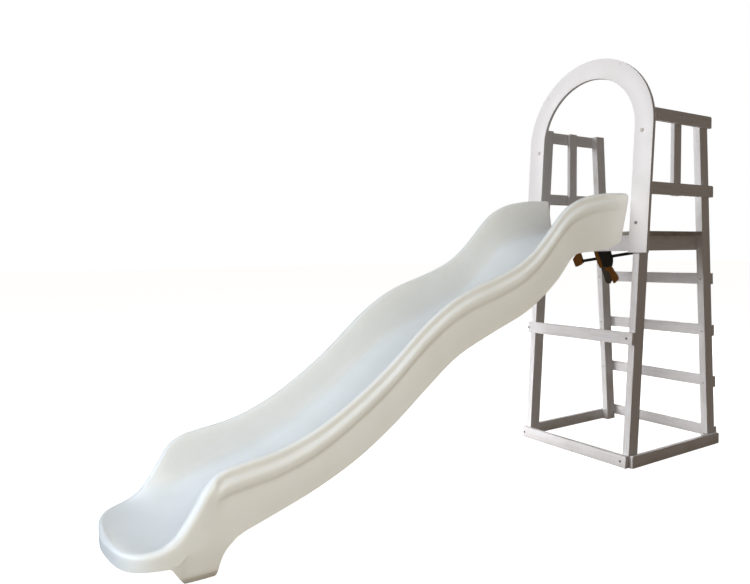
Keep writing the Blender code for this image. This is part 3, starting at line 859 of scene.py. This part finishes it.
def archPaint():
    material, tree, shader, coords = newMaterial("archPaint")
    patches = addNoise(tree, coords, *arch["patchNoise"])
    stipple = addNoise(tree, coords, *arch["stippleNoise"])
    wear = addGroup(tree, "edgeWear", Vector=coords, Width=arch["wearWidth"], Amount=arch["wear"])["Mask"]
    colour = addMix(tree, addRange(tree, patches, *arch["shadowRange"]), arch["white"], arch["shadow"])
    colour = addTint(tree, colour, wear, arch["wearShare"], arch["chip"])
    finishMaterial(tree, shader, colour, addRange(tree, patches, *arch["roughRange"]), stipple, arch["bump"])
    return material


def makeArch():
    lean = math.atan(arch["lean"])
    rise = (arch["centreHeight"] - arch["bottom"]) / math.cos(lean)
    inner, outer, back = arch["innerRadius"], arch["outerRadius"], arch["thickness"]
    bm = bmesh.new()
    start = bm.faces.new([
        bm.verts.new((radius, depth, rise))
        for radius, depth in ((inner, 0.0), (outer, 0.0), (outer, back), (inner, back))])
    spun = bmesh.ops.spin(
        bm, geom=[start], cent=(0.0, 0.0, rise), axis=(0.0, -1.0, 0.0), dvec=(0.0, 0.0, 0.0),
        angle=math.pi, steps=arch["steps"], use_duplicate=False)
    last = next(item for item in spun["geom_last"] if isinstance(item, bmesh.types.BMFace))
    for end in (start, last):
        leg = bmesh.ops.extrude_discrete_faces(bm, faces=[end])["faces"][0]
        bmesh.ops.translate(bm, vec=(0.0, 0.0, -rise), verts=leg.verts)
    bmesh.ops.remove_doubles(bm, verts=bm.verts, dist=arch["merge"])
    bmesh.ops.recalc_face_normals(bm, faces=bm.faces)
    hidden = [face for face in bm.faces if all(len(edge.link_faces) > 2 for edge in face.edges)]
    bmesh.ops.delete(bm, geom=hidden, context="FACES")
    easeEdges(bm, arch["sharpAngle"], arch["easing"], arch["easingSteps"])
    bmesh.ops.rotate(bm, cent=(0.0, 0.0, 0.0), matrix=Matrix.Rotation(-lean, 3, "X"), verts=bm.verts)
    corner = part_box("arch_board")[0]
    low = Vector((0.0, min(v.co.y for v in bm.verts), min(v.co.z for v in bm.verts)))
    bmesh.ops.translate(bm, vec=(0.0, corner.y - low.y, corner.z - low.z), verts=bm.verts)
    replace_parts(finishMesh(bm, "archPanel", archPaint(), True), "arch_board")


makeArch()
print("arch ready")


# The bar clamp left under the deck, slimmer than its solids

clamp = {
    "frontY": 0.9243,
    "slimness": 0.64,
    "easingSteps": 3,
    "sharpAngle": math.radians(50.0),
    "insetWidth": 0.0032,
    "insetDepth": 0.0010,
    "panelArea": 0.0004,
    "panelFlatness": 0.99,
    "amber": (0.41, 0.168, 0.016),
    "amberWorn": (0.56, 0.33, 0.12),
    "black": (0.016, 0.016, 0.017),
    "blackWorn": (0.09, 0.09, 0.09),
    "grip": (0.140, 0.134, 0.120),
    "gripWorn": (0.24, 0.235, 0.22),
    "steel": (0.035, 0.035, 0.038),
    "steelWorn": (0.38, 0.37, 0.36),
    "steelMetallic": 0.75,
    "stippleNoise": (900.0, 2.0, 0.5),
    "patchNoise": (48.0, 5.0, 0.65),
    "patchRange": (0.50, 0.75),
    "scratchStretch": (0.15, 1.0, 1.0),
    "scratchNoise": (520.0, 2.0, 0.5),
    "scratchRange": (0.45, 0.70, 0.3, 1.0),
    "rubbedDepth": 0.6,
    "rubbedShare": 0.35,
    "wearWidth": 0.0016,
    "wear": 0.46,
    "wearShare": 0.6,
    "roughRange": (0.0, 1.0, 0.50, 0.32),
    "bump": (0.30, 0.0006),
    "slots": {
        "amber": "amber_plastic", "black": "black_plastic", "grip": "black_plastic", "steel": "black_steel",
    },
    "pieces": (
        # node, piece, finish, easing, panelled
        ("clamp_fixed_jaw", "clampFixedJawShell", "amber", 0.0016, True),
        ("clamp_sliding_jaw", "clampSlidingJawShell", "amber", 0.0016, False),
        ("clamp_trigger", "clampTriggerLever", "amber", 0.0022, True),
        ("clamp_fixed_pad", "clampFixedPadFace", "amber", 0.0008, False),
        ("clamp_sliding_pad", "clampSlidingPadFace", "amber", 0.0008, False),
        ("clamp_housing", "clampHousingShell", "black", 0.0020, True),
        ("clamp_grip", "clampGripHandle", "grip", 0.0024, False),
        ("clamp_bar", "clampBarSteel", "steel", 0.0006, False),
    ),
}


def makeSkinGroup():
    # Moulded skin: fine spark-eroded stipple with rubbed and scratched patches
    tree, given = newGroup("mouldedSkin", (("Vector", "Vector"),), ("Rubbed", "Height"))
    stipple = addNoise(tree, given["Vector"], *clamp["stippleNoise"])
    patches = addNoise(tree, given["Vector"], *clamp["patchNoise"])
    drawn = addMapping(tree, given["Vector"], Scale=clamp["scratchStretch"])
    scratches = addRange(tree, addNoise(tree, drawn, *clamp["scratchNoise"]), *clamp["scratchRange"])
    rubbed = addMath(tree, "MULTIPLY", addRange(tree, patches, *clamp["patchRange"]), scratches)
    height = addMath(tree, "SUBTRACT", stipple, addMath(tree, "MULTIPLY", rubbed, clamp["rubbedDepth"]))
    closeGroup(tree, Rubbed=rubbed, Height=height)


def clampFinish(finish):
    name = "clamp" + finish.capitalize()
    if name in bpy.data.materials:
        return bpy.data.materials[name]
    constants = {"Metallic": clamp["steelMetallic"]} if finish == "steel" else None
    material, tree, shader, coords = newMaterial(name, constants)
    worn = clamp[finish + "Worn"]
    skin = addGroup(tree, "mouldedSkin", Vector=coords)
    wear = addGroup(tree, "edgeWear", Vector=coords, Width=clamp["wearWidth"], Amount=clamp["wear"])["Mask"]
    colour = addTint(tree, clamp[finish], skin["Rubbed"], clamp["rubbedShare"], worn)
    colour = addTint(tree, colour, wear, clamp["wearShare"], worn)
    rough = addRange(tree, skin["Rubbed"], *clamp["roughRange"])
    finishMaterial(tree, shader, colour, rough, skin["Height"], clamp["bump"])
    return material


def makeClamp():
    for nodeName, name, finish, easing, panelled in clamp["pieces"]:
        bm = mergedCopy(nodeName)
        front = Matrix.Translation((0.0, -clamp["frontY"], 0.0))
        bmesh.ops.scale(bm, vec=(1.0, clamp["slimness"], 1.0), space=front, verts=bm.verts)
        easeEdges(bm, clamp["sharpAngle"], easing, clamp["easingSteps"])
        if panelled:
            sides = [
                face for face in bm.faces
                if abs(face.normal.y) > clamp["panelFlatness"] and face.calc_area() > clamp["panelArea"]]
            bmesh.ops.inset_region(
                bm, faces=sides, thickness=clamp["insetWidth"], depth=-clamp["insetDepth"],
                use_boundary=True, use_even_offset=True)
        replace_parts(finishMesh(bm, name, clampFinish(finish), True), nodeName)


makeSkinGroup()
makeClamp()
print("clamp ready")


# Bolts and screws: lathed heads, sunk a little into what they hold

hardware = {
    "sides": 20,
    "nutSides": 6,
    "merge": 0.00001,
    # Half profiles, radius and height above the timber
    "dome": ((0.0, -0.0010), (0.0085, -0.0010), (0.0086, 0.0006), (0.0079, 0.0022), (0.0058, 0.0034),
             (0.0030, 0.0040), (0.0, 0.0042)),
    "button": ((0.0, -0.0010), (0.0085, -0.0010), (0.0086, 0.0004), (0.0079, 0.0012), (0.0058, 0.0017),
               (0.0030, 0.0019), (0.0, 0.0020)),  # low enough to stay inside the tower's outline
    "screw": ((0.0, -0.0020), (0.0040, -0.0020), (0.0043, 0.0001), (0.0041, 0.0004), (0.0030, 0.0007),
              (0.0017, 0.0007), (0.0013, -0.0008), (0.0, -0.0009)),
    "nut": ((0.0, -0.0010), (0.0105, -0.0010), (0.0106, 0.0012), (0.0100, 0.0015), (0.0068, 0.0015),
            (0.0068, 0.0062), (0.0060, 0.0070), (0.0037, 0.0070), (0.0036, 0.0110), (0.0030, 0.0116),
            (0.0, 0.0118)),
    "turnStep": 0.7,  # from one head to the next, so that they don't stand alike
    # On the arch: piece, x and z of each head, profile, size and finish. They are where the photo shows
    # them, and opposite where the slide hides them
    "arch": (
        ("archLowBolts", ((-0.338, 1.244), (0.338, 1.242)), "dome", 1.0, "boltSteel"),
        ("archHighBolts", ((-0.337, 1.683), (0.345, 1.704)), "dome", 1.2, "paintedHead"),
        ("archScrews", ((0.193, 2.070), (-0.284, 1.990)), "screw", 1.2, "paintedHead"),
    ),
    "boards": (("front_mid_rail", -0.350), ("front_mid_rail", 0.320),
               ("front_base_board", -0.343), ("front_base_board", 0.321)),
    "boardRise": 0.031,
    "boardSize": 0.75,
    "nutSize": 0.62,
    "postX": 0.335,
    "railInset": 0.040,
    "pairStep": (0.011, 0.014),
    "slatY": 1.2048,
    "beamY": (1.004, 1.406),
    "beamZ": 1.140,
    "deckX": (-0.304, 0.0, 0.304),
    "deckShares": (0.24, 0.76),
    # From where each surface is looked for
    "beforeArch": 0.5,
    "beforeBoards": 0.4,
    "betweenPosts": 1.2,
    "behindRungs": 2.2,
    "besideTower": 0.6,
    "aboveDeck": 1.4,
    "steel": (0.24, 0.22, 0.20),
    "paint": (0.70, 0.68, 0.65),
    "rust": (0.13, 0.065, 0.03),
    "metallic": 0.7,
    "spotNoise": (260.0, 5.0, 0.65),
    "spotRange": (0.45, 0.62),
    "cloudNoise": (8.0, 3.0, 0.5),
    "cloudRange": (0.35, 0.65, 0.3, 1.0),
    "rustRough": (0.0, 1.0, 0.42, 0.85),
    "rustBump": (0.4, 0.0004),
    "chipNoise": (420.0, 4.0, 0.6),
    "chipRange": (0.50, 0.62, 0.0, 0.8),
    "chipRough": (0.0, 0.8, 0.45, 0.60),
    "chipBump": (0.4, 0.0003),
}


def boltSteel():
    # Rust in spots, thicker in some places than in others
    tree, shader, coords = newMaterial("boltSteel", {"Metallic": hardware["metallic"]})[1:]
    spots = addNoise(tree, coords, *hardware["spotNoise"])
    cloud = addRange(tree, addNoise(tree, coords, *hardware["cloudNoise"]), *hardware["cloudRange"])
    rust = addMath(tree, "MULTIPLY", addRange(tree, spots, *hardware["spotRange"]), cloud)
    colour = addMix(tree, rust, hardware["steel"], hardware["rust"])
    rough = addRange(tree, rust, *hardware["rustRough"])
    finishMaterial(tree, shader, colour, rough, spots, hardware["rustBump"])


def paintedHead():
    # Heads that were painted over with the timber
    tree, shader, coords = newMaterial("paintedHead")[1:]
    chips = addRange(tree, addNoise(tree, coords, *hardware["chipNoise"]), *hardware["chipRange"])
    colour = addMix(tree, chips, hardware["paint"], hardware["steel"])
    rough = addRange(tree, chips, *hardware["chipRough"])
    finishMaterial(tree, shader, colour, rough, chips, hardware["chipBump"])


def lathedHead(kind):
    bm = bmesh.new()
    chain = [bm.verts.new((radius, 0.0, height)) for radius, height in hardware[kind]]
    edges = [bm.edges.new(pair) for pair in zip(chain, chain[1:])]
    bmesh.ops.spin(
        bm, geom=chain + edges, cent=(0.0, 0.0, 0.0), axis=(0.0, 0.0, 1.0), dvec=(0.0, 0.0, 0.0),
        angle=2 * math.pi, steps=hardware["nutSides"] if kind == "nut" else hardware["sides"],
        use_merge=True, use_duplicate=False)
    bmesh.ops.remove_doubles(bm, verts=bm.verts, dist=hardware["merge"])
    bmesh.ops.recalc_face_normals(bm, faces=bm.faces)
    mesh = bpy.data.meshes.new(kind + "Head")
    bm.to_mesh(mesh)
    bm.free()
    return mesh


def makeFasteners(name, kind, spots, size=1.0, finish="boltSteel"):
    # Each spot is a node, a point outside it and the way to look for its surface
    head = lathedHead(kind)
    bm = bmesh.new()
    for index, (nodeName, start, way) in enumerate(spots):
        solid = bmesh.new()
        solid.from_mesh(nodes[nodeName].data)
        place, normal, _, _ = BVHTree.FromBMesh(solid).ray_cast(Vector(start), Vector(way))
        solid.free()
        count = len(bm.verts)
        bm.from_mesh(head)
        turned = normal.to_track_quat("Z", "Y").to_matrix().to_4x4()
        turned @= Matrix.Rotation(index * hardware["turnStep"], 4, "Z")
        placed = Matrix.Translation(place) @ turned @ Matrix.Scale(size, 4)
        bmesh.ops.transform(bm, matrix=placed, verts=bm.verts[count:])
    bpy.data.meshes.remove(head)
    finishMesh(bm, name, bpy.data.materials[finish], True)


def nodesNamed(start):
    return sorted(name for name in nodes if name.startswith(start))


def sideSpots(side, hand):
    # Pairs of screws at the ends of each side board and where the slat crosses, and two in the deck's beam
    inward = (-hand, 0.0, 0.0)
    outside = hand * hardware["besideTower"]
    stepY, stepZ = hardware["pairStep"]
    spots = []
    for family in ("base_board", "lower_rail", "top_rail"):
        nodeName = "side_" + family + "_" + side
        low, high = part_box(nodeName)
        middle = (low.z + high.z) / 2
        places = [
            (y + way * stepY, middle - way * stepZ)
            for y in (low.y + hardware["railInset"], high.y - hardware["railInset"]) for way in (-1.0, 1.0)]
        if family != "base_board":
            places += [(hardware["slatY"], middle + way * stepZ) for way in (-1.0, 1.0)]
        spots += [(nodeName, (outside, y, z), inward) for y, z in places]
    beam = "deck_side_beam_" + side
    return spots + [(beam, (outside, y, hardware["beamZ"]), inward) for y in hardware["beamY"]]


def makeHardware():
    forward, back, down = (0.0, 1.0, 0.0), (0.0, -1.0, 0.0), (0.0, 0.0, -1.0)
    hands = (("left", -1.0), ("right", 1.0))
    boltSteel()
    paintedHead()
    for name, places, kind, size, finish in hardware["arch"]:
        spots = [("arch_board", (x, hardware["beforeArch"], z), forward) for x, z in places]
        makeFasteners(name, kind, spots, size, finish)
    spots = [
        (nodeName, (x, hardware["beforeBoards"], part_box(nodeName)[0].z + hardware["boardRise"]), forward)
        for nodeName, x in hardware["boards"]]
    makeFasteners("frontBoardBolts", "dome", spots, hardware["boardSize"])
    bolts, nuts = [], []
    for nodeName in nodesNamed("ladder_rung"):
        low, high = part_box(nodeName)
        middle = (low.z + high.z) / 2
        for side, hand in hands:
            x = hand * hardware["postX"]
            bolts.append((nodeName, (x, hardware["behindRungs"], middle), back))
            nuts.append(("post_back_" + side, (x, hardware["betweenPosts"], middle), forward))
    makeFasteners("rungBolts", "button", bolts)
    makeFasteners("rungNuts", "nut", nuts, hardware["nutSize"], "paintedHead")
    spots = [spot for side, hand in hands for spot in sideSpots(side, hand)]
    makeFasteners("sideScrews", "screw", spots, 1.0, "paintedHead")
    spots = []
    for nodeName in nodesNamed("deck_board"):
        low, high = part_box(nodeName)
        for x in hardware["deckX"]:
            for share in hardware["deckShares"]:
                y = low.y + (high.y - low.y) * share
                spots.append((nodeName, (x, y, hardware["aboveDeck"]), down))
    makeFasteners("deckScrews", "screw", spots)


makeHardware()
print("bolts and screws ready")

lightUp()
print("light ready")
